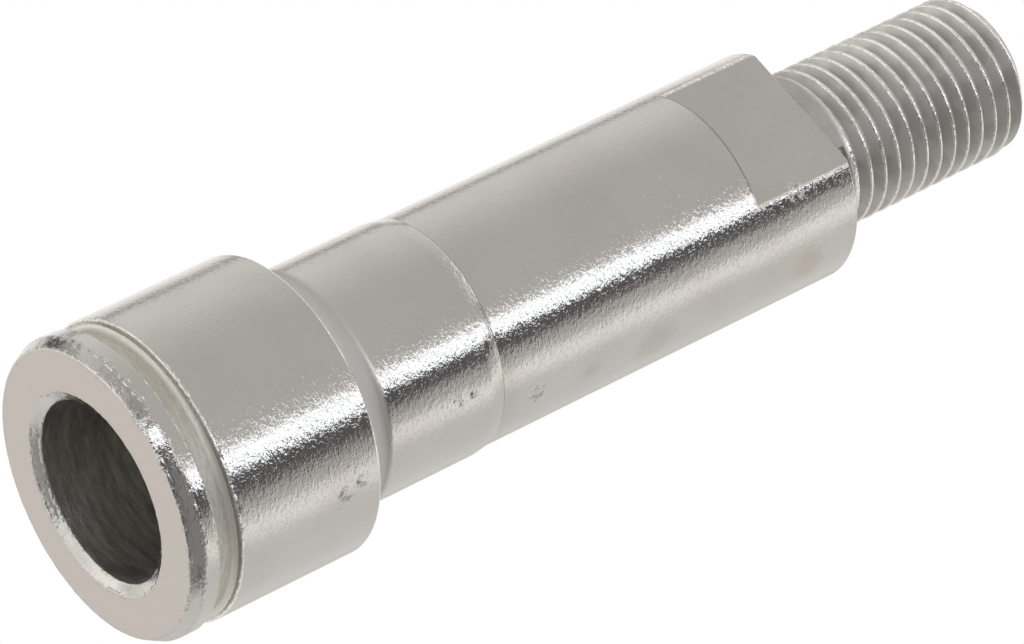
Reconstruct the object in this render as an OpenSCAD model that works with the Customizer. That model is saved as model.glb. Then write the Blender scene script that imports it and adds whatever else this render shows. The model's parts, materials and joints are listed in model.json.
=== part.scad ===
// Threaded spindle, turned from one bar. From the open end upwards it has a hollow head with a
// retaining groove, a relief, a ground neck, a body with two wrench flats and a threaded stud.
// It stands on its open face. The axis is Z, and the flats face +X and -X.

/* [Head] */
// Outer diameter of the head
head_d = 25.2; // [24.6:0.1:26]
// Length of the head, from the open face to its rear edge
head_l = 17.8; // [16:0.1:20]
// Radial size of the chamfer round the open face
rim_chamfer_r = 0.6; // [0.3:0.05:0.8]
// Length of the chamfer round the open face
rim_chamfer_l = 1.1; // [0.6:0.05:1.4]
// Distance from the open face to the retaining groove
groove_start = 2.45; // [2:0.05:3.5]
// Width of the retaining groove
groove_w = 2.05; // [1.6:0.05:2.6]
// Depth of the retaining groove
groove_depth = 0.8; // [0.6:0.05:1]
// Radius of the corners of the retaining groove
groove_round = 0.5; // [0.2:0.05:0.55]

/* [Bore] */
// Diameter of the bore in the head
bore_d = 15.2; // [14:0.1:15.8]
// Depth of the bore, without its drilled point
bore_depth = 24; // [12:0.5:30]
// Angle of the drilled point at the bottom of the bore
point_angle = 118; // [110:1:140]
// Radial size of the countersink at the mouth of the bore
sink_r = 0.9; // [0.4:0.05:1.2]
// Depth of the countersink at the mouth of the bore
sink_l = 0.55; // [0.3:0.05:1]

/* [Neck] */
// Diameter of the ground neck
neck_d = 20; // [19.9:0.05:20.6]
// Length from the head to the rear edge of the neck
neck_l = 14.3; // [12:0.1:18]
// Length of the relief behind the head
relief_l = 3.1; // [2.9:0.05:3.8]
// Depth of the relief below the neck
relief_depth = 0.2; // [0.1:0.05:0.4]
// Radius between the rear face of the head and the relief
relief_round = 2.3; // [1.5:0.1:2.4]
// Length of the lead that tapers the rear end of the neck
lead_l = 1.2; // [0.8:0.1:2]
// Radial size of the lead
lead_r = 0.15; // [0.05:0.05:0.2]

/* [Body] */
// Diameter of the body
body_d = 19.6; // [19:0.1:19.8]
// Length of the body, from the neck to the shoulder
body_l = 36.7; // [30:0.1:45]
// Size across the two wrench flats, a little under the spanner's 15 mm
flat_across = 14.8; // [14:0.1:17]
// Length of the wrench flats
flat_l = 9.7; // [7:0.1:14]
// Chamfer of the outer edge of the shoulder
edge_break = 0.25; // [0.1:0.05:0.5]

/* [Stud] */
// Outer diameter of the thread
thread_d = 13.9; // [13.75:0.05:14]
// Distance between two turns of the thread
pitch = 1.5; // [1.25:0.25:2]
// Length of the stud, from the shoulder to its end
stud_l = 21.2; // [16:0.1:30]
// Plain length between the shoulder and the first groove of the thread
land_l = 1.6; // [1.2:0.1:3]
// Round in the corner between the shoulder and the stud
corner_round = 0.3; // [0.2:0.05:0.5]
// Chamfer at the end of the stud
end_chamfer = 0.9; // [0.6:0.05:1.2]
// Turn of the thread about its axis
thread_turn = 35; // [0:5:355]

/* [Hidden] */

// Stations along the axis
head_z = head_l;
neck_z = head_z + neck_l;
shoulder_z = neck_z + body_l;
end_z = shoulder_z + stud_l;

// Radii
head_r = head_d / 2;
neck_r = neck_d / 2;
body_r = body_d / 2;
thread_r = thread_d / 2;
bore_r = bore_d / 2;
relief_r = neck_r - relief_depth;

// The thread has 60 degree flanks and a flat crest of an eighth of the pitch
thread_depth = 0.6134 * pitch;
crest_w = pitch / 8;
flank_angle = 30;
root_r = thread_r - thread_depth;
groove_top_r = thread_r + crest_w / 2;
root_half = (pitch - crest_w) / 2 - thread_depth * tan(flank_angle);
top_half = root_half + (groove_top_r - root_r) * tan(flank_angle);
steps_per_turn = 24;
first_cut = 0.3;
thread_start = shoulder_z + land_l;
thread_turns = ceil((end_z + pitch - thread_start) / pitch);
thread_steps = thread_turns * steps_per_turn;

arc_steps = 8;
overlap = 1;

// Points of an arc in the plane of radius and height, from angle a to angle b
function arc(r, z, size, a, b) =
  [for (i = [0:arc_steps]) let (t = a + (b - a) * i / arc_steps) [r + size * cos(t), z + size * sin(t)]];

// Outline of the solid bar, from the axis at the open face to the axis at the end of the stud
function outline() = concat(
  [[0, 0], [head_r - rim_chamfer_r, 0], [head_r, rim_chamfer_l]],
  groove_outline(),
  [[head_r, head_z]],
  relief_outline(),
  [[neck_r, neck_z - lead_l], [neck_r - lead_r, neck_z], [body_r, neck_z]],
  [[body_r, shoulder_z - edge_break], [body_r - edge_break, shoulder_z]],
  corner_outline(),
  [[thread_r, end_z - end_chamfer], [thread_r - end_chamfer, end_z], [0, end_z]]
);

// Retaining groove: straight walls with a round corner on each side of its floor
function groove_outline() =
  let (floor_r = head_r - groove_depth, round_r = floor_r + groove_round)
  concat(
    [[head_r, groove_start]],
    arc(round_r, groove_start + groove_round, groove_round, -90, -180),
    arc(round_r, groove_start + groove_w - groove_round, groove_round, 180, 90),
    [[head_r, groove_start + groove_w]]
  );

// Relief: one round from the rear face of the head down to its floor, and a ramp up to the neck
function relief_outline() = concat(
  arc(relief_r + relief_round, head_z + relief_round, relief_round, -90, -180),
  [[relief_r, head_z + relief_l - 2 * relief_depth], [neck_r, head_z + relief_l]]
);

// Round in the corner where the stud leaves the shoulder
function corner_outline() =
  arc(thread_r + corner_round, shoulder_z + corner_round, corner_round, -90, -180);

// Cross-section of the thread's groove, half of its width on each side of the helix
function groove_section() = [
  [root_r, -root_half], [groove_top_r, -top_half], [groove_top_r, top_half], [root_r, root_half]
];

// Height of the tool above its full depth. It plunges in by first_cut and reaches the rest of its
// depth in one turn.
function lift(a) = (thread_depth - first_cut) * max(0, 1 - a / 360);

// A point of the section after a turn of a degrees along the helix
function on_helix(p, a) =
  let (r = p[0] + lift(a))
  [r * cos(a), r * sin(a), p[1] + pitch * a / 360];

// The thread's groove: a right-hand helix that runs from the plain land past the end of the stud
module thread_groove() {
  points = [
    for (i = [0:thread_steps]) for (p = groove_section()) on_helix(p, i * 360 / steps_per_turn)
  ];
  last = 4 * thread_steps;
  sides = [
    for (i = [0:thread_steps - 1]) for (k = [0:3])
      let (a = 4 * i, next = (k + 1) % 4) [a + k, a + next, a + 4 + next, a + 4 + k]
  ];
  ends = [[3, 2, 1, 0], [last, last + 1, last + 2, last + 3]];
  translate([0, 0, thread_start])
    rotate([0, 0, thread_turn])
      polyhedron(points, concat(sides, ends), convexity = 10);
}

// Bore with a drilled point, and the countersink at its mouth
module bore() {
  point_l = bore_r / tan(point_angle / 2);
  translate([0, 0, -overlap]) cylinder(r = bore_r, h = bore_depth + overlap, $fn = 96);
  translate([0, 0, bore_depth]) cylinder(r1 = bore_r, r2 = 0, h = point_l, $fn = 96);
  cylinder(r1 = bore_r + sink_r, r2 = bore_r, h = sink_l, $fn = 96);
}

// The two pieces cut away to leave the wrench flats
module flat_cuts() {
  for (side = [0, 180])
    rotate([0, 0, side])
      translate([flat_across / 2, -body_r, shoulder_z - flat_l])
        cube([body_r, body_d, flat_l + overlap / 2]);
}

module spindle() {
  color([0.6, 0.585, 0.56])
    difference() {
      rotate_extrude($fn = 128) polygon(outline());
      bore();
      flat_cuts();
      thread_groove();
    }
}

spindle();
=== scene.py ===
# %% [markdown]
# # A threaded spindle in bright zinc plating
#
# The spindle is turned from one bar: a hollow head with a retaining groove, a ground neck, a body
# with two wrench flats and a threaded stud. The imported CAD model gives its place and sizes. This
# lesson turns a finer copy of it with bmesh, plates it with a node material, and lights it the way
# a small metal part is lit on a white table.

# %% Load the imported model
import json
import math

import bmesh
import bpy
from mathutils import Matrix, Vector, noise

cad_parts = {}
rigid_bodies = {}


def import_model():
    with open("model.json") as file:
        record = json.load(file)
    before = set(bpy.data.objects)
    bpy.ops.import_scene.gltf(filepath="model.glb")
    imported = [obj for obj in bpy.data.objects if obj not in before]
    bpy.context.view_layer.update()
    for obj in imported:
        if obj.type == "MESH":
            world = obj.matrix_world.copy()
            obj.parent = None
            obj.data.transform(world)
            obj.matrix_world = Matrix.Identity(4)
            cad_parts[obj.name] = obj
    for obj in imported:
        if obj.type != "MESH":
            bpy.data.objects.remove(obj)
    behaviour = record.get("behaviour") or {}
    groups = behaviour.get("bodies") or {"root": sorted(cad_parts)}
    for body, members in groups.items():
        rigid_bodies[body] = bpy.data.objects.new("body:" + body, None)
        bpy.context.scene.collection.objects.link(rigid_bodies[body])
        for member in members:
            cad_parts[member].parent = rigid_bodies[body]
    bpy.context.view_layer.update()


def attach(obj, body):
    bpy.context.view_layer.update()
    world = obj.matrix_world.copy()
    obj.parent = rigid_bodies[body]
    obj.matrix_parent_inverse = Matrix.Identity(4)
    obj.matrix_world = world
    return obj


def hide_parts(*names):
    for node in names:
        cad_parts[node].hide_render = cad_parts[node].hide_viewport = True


millimetre = 0.001

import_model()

# %% [markdown]
# ## The camera
#
# The photograph is taken from below the open end with a long lens, and rolled over so that the
# spindle lies across the picture. A camera is fully described by a place and three directions:
# right, up and back. Turned into the columns of a matrix, they place it with no angles to guess.

# %% Place the camera
camera_place = (0.4080841, 0.2095821, -0.231066)
to_right = Vector((0.21051154, 0.5957762, 0.77507136))
to_top = Vector((0.60522669, -0.70205117, 0.37526632))
to_viewer = Vector((0.7677145, 0.39009598, -0.50836953))

camera_data = bpy.data.cameras.new("long_lens")
camera_data.sensor_width = 36
camera_data.lens = 237.44
camera = bpy.data.objects.new("long_lens", camera_data)
bpy.context.scene.collection.objects.link(camera)
bpy.context.scene.camera = camera
turned_view = Matrix((to_right, to_top, to_viewer)).transposed().to_4x4()
camera.matrix_world = Matrix.Translation(camera_place) @ turned_view
print("camera to spindle in mm:", round(camera.location.length / millimetre))

# %% [markdown]
# ## The turned profile
#
# A turned part is its profile swept once round the axis. The profile below is the one that a
# turner would cut to, as radius and height in mm, from the bottom of the bore, out of the mouth
# and along the outside up to the stud. The third number rounds that corner: small values are the
# breaks that a file leaves, and the large one is the round behind the head. Corners could be
# rounded after the sweep, but rounding the few points of the profile first is exact and quick.
#
# The edges will be dented later. The points without a round that lie close beside an edge make two
# more rings there, so that a dent bends the shading only next to its edge and not a whole face.

# %% Sizes of the turned body
bore_r = 7.6
sink_r, sink_z = 8.5, 0.55
rim_r = 12.0
head_r, head_z = 12.6, 17.8
chamfer_z = 1.1
groove_z, groove_end_z = 2.45, 4.5
groove_floor_r = 11.8
relief_end_z = 20.9
neck_r, neck_z = 10.0, 32.1
body_r, shoulder_z = 9.8, 68.8
flat_x, flat_z = 7.4, 59.1
stud_r = 6.95

turned_profile = [
    (0, 28.567, 0),
    (bore_r, 24, 0),
    (bore_r, 0.8, 0),
    (bore_r, sink_z, 0.05),
    (sink_r, 0, 0.05),
    (8.7, 0, 0),
    (8.9, 0, 0),
    (11.65, 0, 0),
    (11.85, 0, 0),
    (rim_r, 0, 0.12),
    (head_r, chamfer_z, 0.08),
    (head_r, 1.3, 0),
    (head_r, 1.5, 0),
    (head_r, 2.05, 0),
    (head_r, 2.25, 0),
    (head_r, groove_z, 0.09),
    (groove_floor_r, groove_z, 0.5),
    (groove_floor_r, groove_end_z, 0.5),
    (head_r, groove_end_z, 0.1),
    (head_r, 4.75, 0),
    (head_r, 5.0, 0),
    (head_r, 17.3, 0),
    (head_r, 17.55, 0),
    (head_r, head_z, 0.17),
    (9.8, head_z, 2.3),
    (9.8, 20.5, 0.2),
    (neck_r, relief_end_z, 0.19),
    (neck_r, 21.2, 0),
    (neck_r, 30.7, 0),
    (neck_r, 30.9, 0.1),
    (9.85, neck_z, 0.02),
    (body_r, neck_z, 0),
    (body_r, 32.3, 0),
    (body_r, flat_z, 0),
    (body_r, 68.55, 0.05),
    (9.55, shoulder_z, 0.05),
    (stud_r, shoulder_z, 0.3),
    (stud_r, 69.3, 0),
]


# %% Draw the profile and round its corners
round_steps = 288
large_round = 0.25
weld = 2e-3


def draw_profile(bm, corners):
    """Joins the corners with edges in the plane of X and Z, and rounds those that ask for it."""
    verts = [bm.verts.new((r, 0, z)) for r, z, _ in corners]
    for pair in zip(verts, verts[1:]):
        bm.edges.new(pair)
    for vert, (_, _, size) in zip(verts, corners):
        if size:
            bmesh.ops.bevel(
                bm,
                geom=[vert],
                offset=size,
                offset_type="OFFSET",
                segments=10 if size > large_round else 3,
                profile=0.5,
                affect="VERTICES",
                material=-1,
                clamp_overlap=False,
            )


def sweep(bm, rise=0.0):
    """Spins everything in bm once round Z. rise is how far it climbs in that turn."""
    bmesh.ops.spin(
        bm,
        geom=bm.verts[:] + bm.edges[:],
        cent=(0, 0, 0),
        axis=(0, 0, 1),
        dvec=(0, 0, rise / round_steps),
        angle=math.tau,
        steps=round_steps,
        use_merge=rise == 0,
        use_duplicate=False,
    )
    bmesh.ops.remove_doubles(bm, verts=bm.verts, dist=weld)


spindle = bmesh.new()
draw_profile(spindle, turned_profile)
print("points in the rounded profile:", len(spindle.verts))
sweep(spindle)
print("faces of the turned body:", len(spindle.faces))

# %% [markdown]
# ## The wrench flats
#
# The two flats are milled into the rear end of the body. A boolean would do it, but a plane that
# bisects only the faces behind the flats' front line leaves clean straight edges. Each cut leaves
# an opening with two sides: the flat itself, and the small upright wall at its front. An edge
# between the wall's two corners parts them, and each loop of edges is then filled.


# %% Mill the flats
near = 1e-3
touching = 1e-4


def mill_flat(bm, side):
    """Cuts the body at x = side * flat_x, behind the flats' front line, and closes the cut."""

    def to_cut(vert):
        return flat_z - near < vert.co.z < shoulder_z + near and vert.co.xy.length > stud_r - 0.1

    def on_plane(vert):
        return abs(vert.co.x * side - flat_x) < touching

    behind = [f for f in bm.faces if all(to_cut(v) for v in f.verts)]
    around = {e for f in behind for e in f.edges} | {v for f in behind for v in f.verts}
    cut = bmesh.ops.bisect_plane(
        bm,
        geom=behind + list(around),
        dist=1e-5,
        plane_co=(side * flat_x, 0, 0),
        plane_no=(side, 0, 0),
    )
    faces = [g for g in cut["geom"] if isinstance(g, bmesh.types.BMFace)]
    chips = [f for f in faces if f.calc_center_median().x * side > flat_x]
    bmesh.ops.delete(bm, geom=chips, context="FACES")

    open_edges = [e for e in bm.edges if e.is_boundary]
    rim = [e for e in open_edges if all(v.co.x * side > flat_x - near for v in e.verts)]
    flat_rim = [e for e in rim if all(on_plane(v) for v in e.verts)]
    front_arc = [e for e in rim if not all(on_plane(v) for v in e.verts)]
    ends = [v for v in {v for e in front_arc for v in e.verts} if on_plane(v)]
    chord = bm.edges.new(ends)
    bmesh.ops.contextual_create(bm, geom=flat_rim + [chord])
    bmesh.ops.contextual_create(bm, geom=front_arc + [chord])
    return ends


for side in (1, -1):
    ends = mill_flat(spindle, side)
    print("front corners of a flat:", [[round(c, 2) for c in v.co] for v in ends])

# %% [markdown]
# ## The thread
#
# A screw thread is one more sweep, only that it climbs by its pitch in each turn. The zigzag of
# crests and roots is drawn once for the whole length of the stud and swept through one turn. Each
# turn then ends where the next one starts, and merging the doubles joins them into one surface.
# Subdividing the flanks gives the chamfer at the end enough points to follow.

# %% Sizes of the thread
pitch = 1.5
flank_degrees = 30
thread_depth = 0.6134 * pitch
first_cut = 0.3
root_r = stud_r - thread_depth
crest_half = pitch / 16
root_half = pitch / 2 - crest_half - thread_depth * math.tan(math.radians(flank_degrees))
thread_start_z = 70.4
thread_turn = 35
end_z = 90.0
end_chamfer = 0.9
thread_turns = 17
crest_break = 0.035
stud_start_z = 69.4
crest_z = thread_start_z - pitch * thread_turn / 360 - 2.5 * pitch

# %% Sweep the thread
stud = bmesh.new()
zigzag = []
for turn in range(thread_turns):
    z = crest_z + turn * pitch
    zigzag += [
        (stud_r, z - crest_half, crest_break),
        (stud_r, z + crest_half, crest_break),
        (root_r, z + pitch / 2 - root_half, 0),
        (root_r, z + pitch / 2 + root_half, 0),
    ]
draw_profile(stud, zigzag)
flanks = [e for e in stud.edges if abs(e.verts[0].co.x - e.verts[1].co.x) > thread_depth / 2]
bmesh.ops.subdivide_edges(stud, edges=flanks, cuts=2)
sweep(stud, rise=pitch)
print("faces of the thread before it is cut:", len(stud.faces))

# %% [markdown]
# The tool plunges in by its first cut and reaches full depth in one turn, so the first groove is
# shallower. It is made by lifting the groove's points outwards. The same pass lowers every point
# that stands outside the end chamfer's cone. Past the end of the stud that cone shrinks to nothing,
# so a smallest radius keeps those points apart until two planes cut the ends of the sweep square.

# %% Run the thread out and chamfer its end
smallest_r = 0.5


def thread_radius(point):
    """The radius that a point of the sweep gets: lifted at the run-out, and inside the chamfer."""
    turned = math.degrees(math.atan2(point.y, point.x)) - thread_turn
    groove = round((point.z - thread_start_z) / pitch - turned / 360)
    along = turned + 360 * groove
    radius = point.xy.length
    if along < 0:
        radius = stud_r
    else:
        radius = min(stud_r, radius + (thread_depth - first_cut) * max(0, 1 - along / 360))
    return min(radius, stud_r - (point.z - (end_z - end_chamfer)))


for vert in stud.verts:
    if vert.co.z < end_z + pitch:
        vert.co.xy *= max(smallest_r, thread_radius(vert.co)) / vert.co.xy.length

for height, side in ((stud_start_z, -1), (end_z, 1)):
    bmesh.ops.bisect_plane(
        stud,
        geom=stud.verts[:] + stud.edges[:] + stud.faces[:],
        dist=1e-6,
        plane_co=(0, 0, height),
        plane_no=(0, 0, side),
        clear_outer=True,
    )
bmesh.ops.contextual_create(
    stud, geom=[e for e in stud.edges if e.is_boundary and e.verts[0].co.z > end_z - near]
)
print("faces of the finished stud:", len(stud.faces))

# %% [markdown]
# ## One closed piece
#
# The stud joins the body across a short band of edges. Normals are recalculated once everything is
# joined, because a sweep can come out inside out. A closed surface has no boundary edge, so the
# number of open edges is printed with the volume.

# %% Join the stud to the body
stud_mesh = bpy.data.meshes.new("stud")
stud.to_mesh(stud_mesh)
stud.free()
spindle.from_mesh(stud_mesh)
bpy.data.meshes.remove(stud_mesh)

rims = [e for e in spindle.edges if e.is_boundary and e.verts[0].co.z > shoulder_z]
bmesh.ops.bridge_loops(spindle, edges=rims)
bmesh.ops.recalc_face_normals(spindle, faces=spindle.faces)
loose_edges = sum(not e.is_manifold for e in spindle.edges)
print("open edges:", loose_edges, " volume in mm3:", round(spindle.calc_volume(), 1))

# %% [markdown]
# ## Worn edges
#
# The edges were broken by hand and knocked about since, so none of them is a clean line. Each
# break is pushed inwards here and there by a smooth noise, which leaves small dents and a burr
# between them. Pushing only inwards keeps the part inside its nominal size.

# %% Dent the edges
worn_edges = [
    (rim_r, 0.0, 0.07),
    (head_r, chamfer_z, 0.07),
    (head_r, groove_z, 0.06),
    (head_r, groove_end_z, 0.10),
    (sink_r, 0.0, 0.05),
]
dent_reach = 0.15
dents_per_mm, burrs_per_mm = 1.3, 3.1
dented = 0
for vert in spindle.verts:
    radius = vert.co.xy.length
    for edge_r, edge_z, depth in worn_edges:
        if math.hypot(radius - edge_r, vert.co.z - edge_z) < dent_reach:
            bumps = noise.noise(vert.co * dents_per_mm) + 0.6 * noise.noise(vert.co * burrs_per_mm)
            push = depth * max(0, bumps)
            vert.co.xy *= (radius - push) / radius
            dented += 1
print("points on worn edges:", dented)

# %% Make the object
sharp_degrees = 24


def make_piece(bm, name):
    """A mesh object at the origin, in metres, with smooth faces and crisp edges."""
    bmesh.ops.scale(bm, vec=(millimetre,) * 3, verts=bm.verts)
    mesh = bpy.data.meshes.new(name)
    bm.to_mesh(mesh)
    bm.free()
    mesh.shade_smooth()
    mesh.set_sharp_from_angle(angle=math.radians(sharp_degrees))
    piece = bpy.data.objects.new(name, mesh)
    bpy.context.scene.collection.objects.link(piece)
    return piece


turned_spindle = make_piece(spindle, "turned_spindle")
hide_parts("spindle")
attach(turned_spindle, "root")
turned_spindle.data.calc_loop_triangles()
print("triangles:", len(turned_spindle.data.loop_triangles))

# %% [markdown]
# ## Shader maths in Python
#
# Node trees are easier to read as expressions. A Wire wraps a socket, and Python's operators on it
# add Math nodes. Every other kind of node comes from one method, which sets the node's settings
# first and then its sockets.


# %% Wires and nodes
class Wire:
    """A socket whose operators add Math nodes to its tree."""

    def __init__(self, bench, socket):
        self.bench, self.socket = bench, socket

    def maths(self, operation, *values):
        return self.bench.node("ShaderNodeMath", {"operation": operation}, dict(enumerate(values)))

    def absolute(self):
        return self.maths("ABSOLUTE", self)

    def __add__(self, other):
        return self.maths("ADD", self, other)

    def __sub__(self, other):
        return self.maths("SUBTRACT", self, other)

    def __rsub__(self, other):
        return self.maths("SUBTRACT", other, self)

    def __mul__(self, other):
        return self.maths("MULTIPLY", self, other)

    def __pow__(self, other):
        return self.maths("POWER", self, other)

    __radd__, __rmul__ = __add__, __mul__


class Bench:
    """Adds nodes to one node tree."""

    def __init__(self, tree):
        self.tree = tree
        tree.nodes.clear()

    def node(self, kind, settings=None, sockets=None, output=0):
        new = self.tree.nodes.new(kind)
        for name, value in (settings or {}).items():
            setattr(new, name, value)
        for name, value in (sockets or {}).items():
            if isinstance(value, Wire):
                self.tree.links.new(value.socket, new.inputs[name])
            else:
                new.inputs[name].default_value = value
        return Wire(self, new.outputs[output]) if len(new.outputs) else None

    def split(self, vector):
        """The three numbers of a vector."""
        separate = self.node("ShaderNodeSeparateXYZ", None, {0: vector}).socket.node
        return [Wire(self, number) for number in separate.outputs]

    def between(self, value, low, high):
        """0 below low, 1 above high, and smooth in between."""
        return self.node(
            "ShaderNodeMapRange",
            {"interpolation_type": "SMOOTHSTEP"},
            {"Value": value, "From Min": low, "From Max": high},
        )

    def band(self, value, rise, fall):
        """1 inside a band. rise and fall are the pairs of values where it begins and ends."""
        return self.between(value, *rise) * (1 - self.between(value, *fall))

    def mix(self, factor, a, b):
        """Colour a where the factor is 0, and colour b where it is 1."""
        return self.node("ShaderNodeMix", {"data_type": "RGBA"}, {0: factor, 6: a, 7: b}, output=2)


# %% [markdown]
# ## The studio
#
# Bright metal has hardly a colour of its own: what it shows is the room. A photographer stands
# cards and lamps round the part, and each one becomes a band along the cylinders. The world here
# is such a room. The bearing is the angle round the spindle's axis, in degrees, and each card is
# a range of bearings with a soft edge and a brightness. Some also end at a height, which runs from
# -1 straight down to 1 straight up. The long lamp and the black card beside it lean, so their
# bearing changes with height. The camera itself sees plain white.

# %% Bearings round the spindle
world = bpy.data.worlds.new("studio")
bpy.context.scene.world = world
world.use_nodes = True
room = Bench(world.node_tree)

east, north, height = room.split(room.node("ShaderNodeTexCoord", output="Generated"))
bearing = east.maths("ARCTAN2", north, east) * (180 / math.pi)

upright_from = 0.5
lean_height = height.maths("MINIMUM", height, upright_from) - upright_from
height_edge = 0.08


def card(first, last, first_edge, last_edge, lean=0.0, last_lean=None, low=None, high=None):
    """Mask of a card from one bearing to another. lean is in degrees for each unit of height."""
    last_lean = lean if last_lean is None else last_lean
    half = (last - first) / 2
    around = bearing.maths("WRAP", bearing - (first + last) / 2, 180.0, -180.0)
    start = room.between(around - lean_height * lean, -half - first_edge, -half + first_edge)
    stop = room.between(around - lean_height * last_lean, half - last_edge, half + last_edge)
    mask = start * (1 - stop)
    if low is not None:
        mask = mask * room.between(height, low - height_edge, low + height_edge)
    if high is not None:
        mask = mask * (1 - room.between(height, high - height_edge, high + height_edge))
    return mask


# %% Set up the cards
def warm(level):
    """A grey that leans a little to yellow."""
    return (level * 1.01, level, level * 0.965, 1)


def cool(level):
    """A grey that leans a little to blue."""
    return (level * 0.955, level, level * 1.05, 1)


studio_cards = [
    ("lit wall", warm(0.78), card(112, 250, 9, 4)),
    ("low part of the wall", warm(0.66), card(184, 208, 5, 2)),
    ("white backdrop", warm(1.02), card(207.5, 238, 1, 9)),
    ("foot of the backdrop", warm(0.86), card(170, 232, 6, 8, high=-0.2)),
    ("grey side", warm(0.85), card(253, 420, 3.5, 10)),
    ("grey ceiling", warm(0.615), card(300, 420, 34, 10)),
    ("grey floor", warm(0.46), card(312, 372, 24, 4, high=-0.22)),
    ("dark doorway", warm(0.47), card(242.5, 252.5, 4, 2.5, lean=-24, last_lean=-40)),
    ("foot of the doorway", warm(0.13), card(248, 264, 3, 3, low=-0.15, high=0.25)),
    ("soft card", warm(1.12), card(89, 109, 5, 9, low=0.1)),
    ("grey wall beside the lamp", warm(0.60), card(50, 89, 2, 6, last_lean=-62)),
    ("black card", (0.315, 0.305, 0.315, 1), card(53, 74, 2, 4, lean=42, last_lean=-66)),
    ("its lamp side", (0.13, 0.125, 0.13, 1), card(56, 71, 2, 5, 42, last_lean=-50, low=0.12)),
    ("its end", warm(0.16), card(58, 70, 3, 2, lean=-66, low=-0.33, high=-0.18)),
    ("white table", warm(0.92), card(160, 340, 12, 25, high=-0.66)),
    ("dark side of the table", warm(0.42), card(60, 155, 15, 5, high=-0.74)),
    ("light under the table", warm(1.3), card(238, 330, 8, 8, low=-0.84, high=-0.54)),
    ("dark edge of the table", warm(0.14), card(-25, 105, 8, 8, low=-0.93, high=-0.58)),
    ("lamp under the table", warm(1.3), card(278, 300, 4, 5, high=-0.93)),
    ("glow of the lamp", warm(0.88), card(39, 53, 6, 3, lean=40)),
    ("long lamp", cool(1.9), card(41.0, 56.5, 2.2, 1.6, lean=40)),
    ("ceiling over the spindle", warm(1.5), card(0, 359.9, 1, 1, low=0.84)),
    ("dark corner of the ceiling", warm(0.14), card(15, 78, 8, 8, low=0.84)),
]
light = room.node("ShaderNodeRGB")
light.socket.default_value = warm(0.78)
for name, colour, mask in studio_cards:
    light = room.mix(mask, light, colour)
    light.socket.node.label = name

seen = room.node("ShaderNodeLightPath", output="Is Camera Ray")
studio_light = room.node("ShaderNodeBackground", None, {"Color": light, "Strength": 1.0})
white = room.node("ShaderNodeBackground", None, {"Color": (1, 1, 1, 1), "Strength": 1.0})
both = room.node("ShaderNodeMixShader", None, {0: seen, 1: studio_light, 2: white})
room.node("ShaderNodeOutputWorld", None, {"Surface": both})
print("cards in the studio:", len(studio_cards))

# %% [markdown]
# ## The zinc plating
#
# Bright zinc is a mirror with a fine grain in it: the steel's turning marks still show through the
# plating. The grain bends each reflection a little, which is what frays the edges of the bright
# bands. It is a bump from noise that is stretched round the spindle, the way the tool went. Fine
# creases and flecks lie over it, and soft waves below it.

# %% Grain of the plated surface
zinc = bpy.data.materials.new("bright_zinc")
zinc.use_nodes = True
steel = Bench(zinc.node_tree)

place = steel.node("ShaderNodeTexCoord", output="Object")
to_mm = {0: place, "Scale": 1 / millimetre}
place_mm = steel.node("ShaderNodeVectorMath", {"operation": "SCALE"}, to_mm)
x, y, z = steel.split(place_mm)
radius = (x * x + y * y) ** 0.5


def grain(scale, squeeze, detail=2.0, roughness=0.5, shift=0.0):
    """Noise from 0 to 1, squeezed along the axis so that its streaks run round the spindle."""
    stretched = steel.node(
        "ShaderNodeVectorMath",
        {"operation": "MULTIPLY_ADD"},
        {0: place_mm, 1: (1, 1, squeeze), 2: (shift,) * 3},
    )
    return steel.node(
        "ShaderNodeTexNoise",
        None,
        {"Vector": stretched, "Scale": scale, "Detail": detail, "Roughness": roughness},
    )


rough_grain = grain(1.9, 1.7, detail=2.0, roughness=0.55)
turning_marks = grain(1.1, 7.0, detail=2.0, shift=60.0)
creases = steel.between((grain(2.0, 1.4, detail=1.0, shift=45.0) - 0.5).absolute(), 0.0, 0.05)
flecks = steel.between(grain(2.6, 2.0, detail=1.0, shift=40.0), 0.54, 0.72)
waves = grain(0.4, 1.0, detail=1.0, shift=90.0)

# %% [markdown]
# Each finish is kept to its place by a mask of radius and height, in mm, that follows the sizes of
# the turned body. The stud is thinner than the bore, so the bore's mask also ends at a height.

# %% Where each finish begins and ends
in_bore = (1 - steel.between(radius, bore_r - 0.02, bore_r + 0.04)) * (1 - steel.between(z, 40, 41))
in_groove = steel.band(z, (groove_z + 0.05, groove_z + 0.11), (groove_end_z - 0.08, groove_end_z))
in_groove = in_groove * steel.band(radius, (11.0, 11.1), (head_r - 0.18, head_r - 0.1))
in_relief = steel.band(z, (head_z + 0.02, head_z + 0.1), (relief_end_z - 0.3, relief_end_z + 0.4))
on_stud = steel.between(z, shoulder_z - 0.02, shoulder_z + 0.02)
on_crest = on_stud * steel.between(radius, stud_r - 0.15, stud_r - 0.05)
on_face = 1 - steel.between(z, 0.0, 0.02)

# %% [markdown]
# The turned edges are knocked in soft dents, and chipped more finely. The long edges of the flats
# are burred, and a few nicks lie on the head, the neck, the body and a flat.


# %% Knocks, chips and nicks
def near_edge(edge_r, edge_z, reach):
    """1 on a turned edge, falling to 0 at its reach in mm."""
    away = ((radius - edge_r) ** 2 + (z - edge_z) ** 2) ** 0.5
    return 1 - steel.between(away, reach * 0.5, reach)


def distance_to(at):
    """Distance from a point in mm."""
    ends = {0: place_mm, 1: at}
    return steel.node("ShaderNodeVectorMath", {"operation": "DISTANCE"}, ends, output="Value")


def spot(at, reach):
    """1 at a point in mm, fading to 0 at its reach."""
    return 1 - steel.between(distance_to(at), reach * 0.2, reach)


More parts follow.
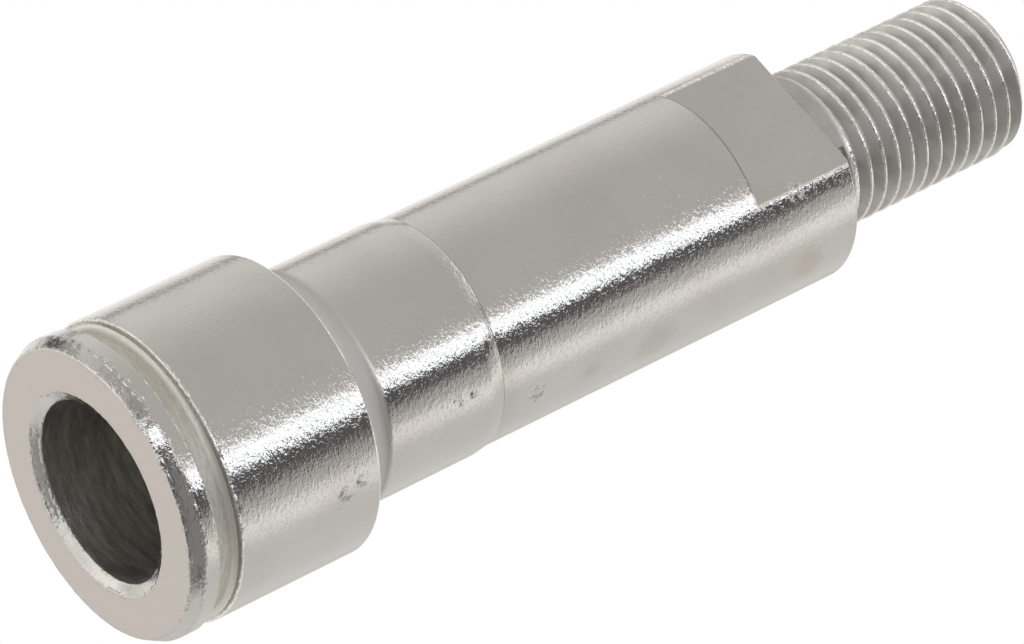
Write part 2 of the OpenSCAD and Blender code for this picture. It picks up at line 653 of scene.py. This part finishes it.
knocked_edges = [
    (rim_r, 0.0, 0.35),
    (head_r, chamfer_z, 0.3),
    (head_r, groove_z, 0.2),
    (head_r, groove_end_z, 0.3),
    (sink_r, 0.0, 0.25),
    (bore_r, sink_z, 0.25),
]
worn = sum(near_edge(*edge) for edge in knocked_edges)
knocks = steel.between(grain(1.6, 1.0, detail=3.0, shift=15.0), 0.45, 0.7) * worn
chips = (grain(3.4, 1.0, detail=2.0, shift=25.0) - 0.5) * worn

across_x, across_y = x.absolute(), y.absolute()
flat_edge = steel.band(across_x, (flat_x - 0.2, flat_x - 0.1), (flat_x + 0.05, flat_x + 0.25))
flat_edge = flat_edge * steel.band(across_y, (6.15, 6.3), (6.5, 6.6))
flat_edge = flat_edge * steel.between(z, flat_z, flat_z + 0.1)

nicks = [
    ((1.46, 9.69, 35.6), 1.5),
    ((4.47, 8.95, 27.5), 0.7),
    ((4.63, 8.86, 29.1), 0.5),
    ((4.57, 11.74, 14.5), 1.1),
    ((5.12, 11.51, 16.0), 0.7),
    ((9.21, -3.35, 61.0), 0.7),
    ((7.4, 6.4, 62.9), 1.2),
]
nicked = flat_edge * 0.6 + sum(spot(at, reach) for at, reach in nicks)
dents = nicked * steel.between(grain(2.4, 0.6, shift=33.0), 0.46, 0.60)

# %% Bump of the plated surface
face_marks = steel.node(
    "ShaderNodeTexNoise",
    {"noise_dimensions": "1D"},
    {"W": radius + waves * 0.3, "Scale": 5.0, "Detail": 3.0},
)

bump_height = (
    rough_grain * 0.023
    + turning_marks * 0.006
    + flecks * 0.007
    + creases * 0.0028
    + waves * 0.006
    + knocks * 0.05
    + chips * 0.05
    + dents * 0.08
    + on_crest * (rough_grain - 0.5) * 0.09
    + in_groove * (rough_grain - 0.5) * 0.02
    + on_face * face_marks * 0.004
)
bump = steel.node(
    "ShaderNodeBump", None, {"Strength": 1.0, "Distance": millimetre, "Height": bump_height}
)

# %% [markdown]
# The colour is nearly the same all over. A faint cloudiness is left from the plating bath, with
# one brown and two grey stains. The bore is streaked round, and its colour is raised far above
# the plating's as painted light that stands in for light reaching into it.
# Painted shade darkens the body behind the step of the neck, and lines that step and the front
# line of the flats. The nicks are darker. Painted highlights brighten the long edges of the flats
# and the rear edges of the groove and the head.

# %% Colour of the plated surface
clouds = steel.between(grain(0.16, 1.0, detail=3.0, shift=7.0), 0.40, 0.66)
colour = steel.mix(clouds, (0.61, 0.595, 0.572, 1), (0.59, 0.562, 0.545, 1))

stains = [
    ((1.08, 9.74, 63.6), 1.5, 0.6, (0.565, 0.515, 0.47, 1)),
    ((0.65, 9.78, 47.8), 1.8, 0.9, (0.545, 0.525, 0.495, 1)),
    ((1.30, 9.71, 41.2), 0.8, 0.5, (0.55, 0.53, 0.50, 1)),
]
ragged = (grain(1.2, 1.0, shift=3.0) - 0.5) * 1.4
for at, reach, soft, tint in stains:
    stained = 1 - steel.between(distance_to(at) + ragged, reach - soft, reach + soft)
    colour = steel.mix(stained, colour, tint)

step_end_z = neck_z + 0.1
# Painted shade: the body just behind the step of the neck is darkened, on one side only.
painted_shade_behind_step = steel.band(z, (neck_z + 0.02, step_end_z), (neck_z + 0.5, neck_z + 1.9))
painted_shade_behind_step = painted_shade_behind_step * steel.between(y, 6.0, 8.5)
colour = steel.mix(painted_shade_behind_step * 0.5, colour, (0.53, 0.52, 0.48, 1))
# Painted shade: a dark line at the step of the neck and in the front line of the flats.
painted_shade_at_step = steel.band(z, (neck_z - 0.08, neck_z - 0.04), (neck_z + 0.02, step_end_z))
painted_shade_at_flats = steel.band(z, (flat_z - 0.17, flat_z - 0.12), (flat_z, flat_z + 0.05))
painted_shade_at_flats = painted_shade_at_flats * steel.between(across_x, flat_x + 0.02, flat_x + 0.1)
colour = steel.mix((painted_shade_at_step + painted_shade_at_flats) * 0.6, colour, (0.22, 0.21, 0.19, 1))
colour = steel.mix(steel.between(dents, 0.3, 0.8) * 0.6, colour, (0.30, 0.285, 0.265, 1))
colour = steel.mix(in_relief * 0.5, colour, (0.66, 0.64, 0.615, 1))
colour = steel.mix(on_face, colour, (0.605, 0.555, 0.525, 1))

# %% Colour of the bore, the groove and the thread
# The bore's streaks are its own marks. Their colour, up to white and far above the plating's, is
# painted light reaching into the bore.
streaks = steel.between(grain(0.3, 5.0, detail=4.0, roughness=0.7, shift=5.0), 0.30, 0.72)
bore_streaks_and_painted_light = steel.mix(streaks, (0.44, 0.425, 0.395, 1), (1.0, 0.98, 0.94, 1))
colour = steel.mix(in_bore, colour, bore_streaks_and_painted_light)

turned = steel.between(turning_marks, 0.4, 0.6)
groove_colour = steel.mix(turned, (0.66, 0.63, 0.57, 1), (0.57, 0.54, 0.48, 1))
# Painted light: the rear corner of the groove is lightened to cancel its shade and show a bright
# line.
painted_light_in_groove_corner = steel.between(z, groove_end_z - 0.6, groove_end_z - 0.2)
groove_colour = steel.mix(painted_light_in_groove_corner, groove_colour, (0.84, 0.81, 0.75, 1))
colour = steel.mix(in_groove, colour, groove_colour)

land_end_z = thread_start_z + 0.2
# Painted highlight: the crests past the land get a near-white colour, which shows as bright lines.
painted_crest_highlight = on_crest * steel.between(z, land_end_z, land_end_z + 0.6)
in_thread = on_stud - painted_crest_highlight
dull = steel.between(waves, 0.42, 0.58)
thread_colour = steel.mix(dull, (0.68, 0.67, 0.645, 1), (0.60, 0.58, 0.55, 1))
colour = steel.mix(in_thread, colour, thread_colour)
# Painted shade: the plain land beside the shoulder is darkened.
painted_shade_on_land = on_stud * (1 - steel.between(z, land_end_z, land_end_z + 0.8))
colour = steel.mix(painted_shade_on_land * 0.7, colour, (0.43, 0.415, 0.39, 1))
colour = steel.mix(painted_crest_highlight, colour, (0.80, 0.79, 0.765, 1))

# Painted highlight: the long edges of the flats and the rear edges of the groove and the head are
# brightened.
painted_edge_highlight = near_edge(head_r, groove_end_z, 0.22) + near_edge(head_r, head_z, 0.22) + flat_edge
colour = steel.mix(painted_edge_highlight, colour, (0.88, 0.86, 0.83, 1))

# %% Plate the spindle
roughness = (
    0.075
    + in_bore * 0.4
    + in_groove * 0.45
    + in_relief * 0.55
    + in_thread * 0.48
    + painted_crest_highlight * 0.08
    + on_face * 0.16
)
shader = steel.node(
    "ShaderNodeBsdfPrincipled",
    None,
    {"Base Color": colour, "Metallic": 1.0, "Roughness": roughness, "Normal": bump},
)
steel.node("ShaderNodeOutputMaterial", None, {"Surface": shader})
turned_spindle.data.materials.append(zinc)

# %% [markdown]
# ## The floor
#
# The spindle stands on its open face, and the photograph looks at that face, so the floor must
# not hide it. The floor is shown to camera rays that come from above and to nothing else. Its
# brightness fades into the white background, so that only the spindle's own shadow shows on it.

# %% Lay the floor
floor_radius = 0.6
floor_drop = 0.0001
fade_from, fade_to = 0.08, 0.4

floor_bm = bmesh.new()
bmesh.ops.create_circle(floor_bm, cap_ends=True, segments=64, radius=floor_radius)
bmesh.ops.translate(floor_bm, vec=(0, 0, -floor_drop), verts=floor_bm.verts)
floor_mesh = bpy.data.meshes.new("floor")
floor_bm.to_mesh(floor_mesh)
floor_bm.free()
floor = bpy.data.objects.new("floor", floor_mesh)
bpy.context.scene.collection.objects.link(floor)

paper = bpy.data.materials.new("white_paper")
paper.use_nodes = True
sheet = Bench(paper.node_tree)
on_sheet = sheet.node("ShaderNodeTexCoord", output="Object")
away = sheet.node("ShaderNodeVectorMath", {"operation": "LENGTH"}, {0: on_sheet}, output="Value")
path = sheet.node("ShaderNodeLightPath", output="Is Camera Ray")
below = sheet.node("ShaderNodeNewGeometry", output="Backfacing")
shown = path * (1 - below) * (1 - sheet.between(away, fade_from, fade_to))
matt = sheet.node("ShaderNodeBsdfDiffuse", None, {"Color": (1, 1, 1, 1)})
clear = sheet.node("ShaderNodeBsdfTransparent")
surface = sheet.node("ShaderNodeMixShader", None, {0: shown, 1: clear, 2: matt})
sheet.node("ShaderNodeOutputMaterial", None, {"Surface": surface})
floor.data.materials.append(paper)

# %% [markdown]
# ## Finish
#
# The view settings keep colours as they are written.

# %% Finish
bpy.context.scene.view_settings.view_transform = "Standard"
